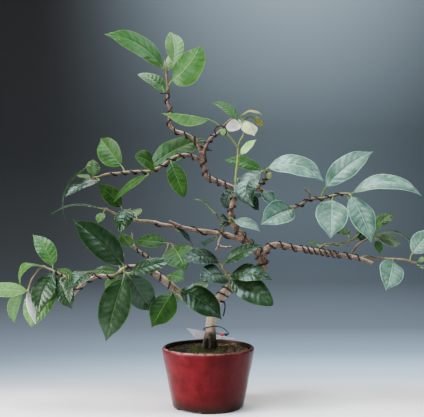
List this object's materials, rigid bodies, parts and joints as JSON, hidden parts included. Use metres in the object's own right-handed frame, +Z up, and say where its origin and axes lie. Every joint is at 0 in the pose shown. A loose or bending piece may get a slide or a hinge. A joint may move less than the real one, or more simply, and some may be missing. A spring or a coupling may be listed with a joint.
{
  "type": "camellia bonsai",
  "caption": "Camellia trained as a bonsai: a wired, winding trunk with glossy serrated leaves on thin branches, in a round red glazed pot.",
  "frame": {"origin": "on the pot's axis, on the surface that its feet stand on", "axes": "+Z up, +X to the right and -Y towards the viewer, with the tree seen from its front"},
  "size_m": [0.4916, 0.1281, 0.4166],
  "materials": {
    "glaze": "gloss",
    "soil": "matte",
    "net": "matte",
    "bark": "matte",
    "leaf": "gloss",
    "young_leaf": "satin",
    "training_wire": "satin",
    "label": "satin",
    "tie": "satin",
    "red_sleeve": "satin",
    "black_cap": "satin"
  },
  "bodies": {
    "root": {"pot": "glaze", "soil": "soil", "drain_net": "net", "wood": "bark", "label": "label", "tie_wire": "tie", "tie_sleeve": "red_sleeve", "tie_cap": "black_cap", "wire_trunk_low": "training_wire", "wire_trunk": "training_wire", "wire_trunk_top": "training_wire", "wire_leader": "training_wire", "wire_crown": "training_wire", "wire_upper_left": "training_wire", "wire_middle_left": "training_wire", "wire_lower_left": "training_wire", "wire_side_shoot": "training_wire", "wire_far_left": "training_wire", "wire_right": "training_wire", "wire_right_second": "training_wire", "wire_upper_right": "training_wire", "wire_right_tip": "training_wire", "spray_apex": "young_leaf", "spray_crown": "young_leaf", "spray_new_shoot": "young_leaf", "spray_upper_left": "young_leaf", "leaf_hanging": "young_leaf", "spray_middle_left": "leaf", "leaf_edge_on": "leaf", "leaf_behind_trunk": "leaf", "spray_short_shoot": "leaf", "spray_trunk_bend": "leaf", "spray_right_tip": "leaf", "leaf_fork_front": "leaf", "leaf_fork_behind": "leaf", "spray_back_upper": "leaf", "leaf_glossy": "leaf", "spray_upper_right": "leaf", "spray_lower_right": "leaf", "spray_small_right": "leaf", "spray_middle_right": "leaf", "spray_knot": "leaf", "spray_spur": "leaf", "leaf_round": "leaf", "spray_left_fan": "leaf", "spray_far_left": "young_leaf", "leaf_left_middle": "leaf", "spray_side_shoot": "young_leaf", "spray_back_low": "leaf", "spray_back_left": "leaf", "spray_back_far": "leaf"}
  },
  "joints": []
}
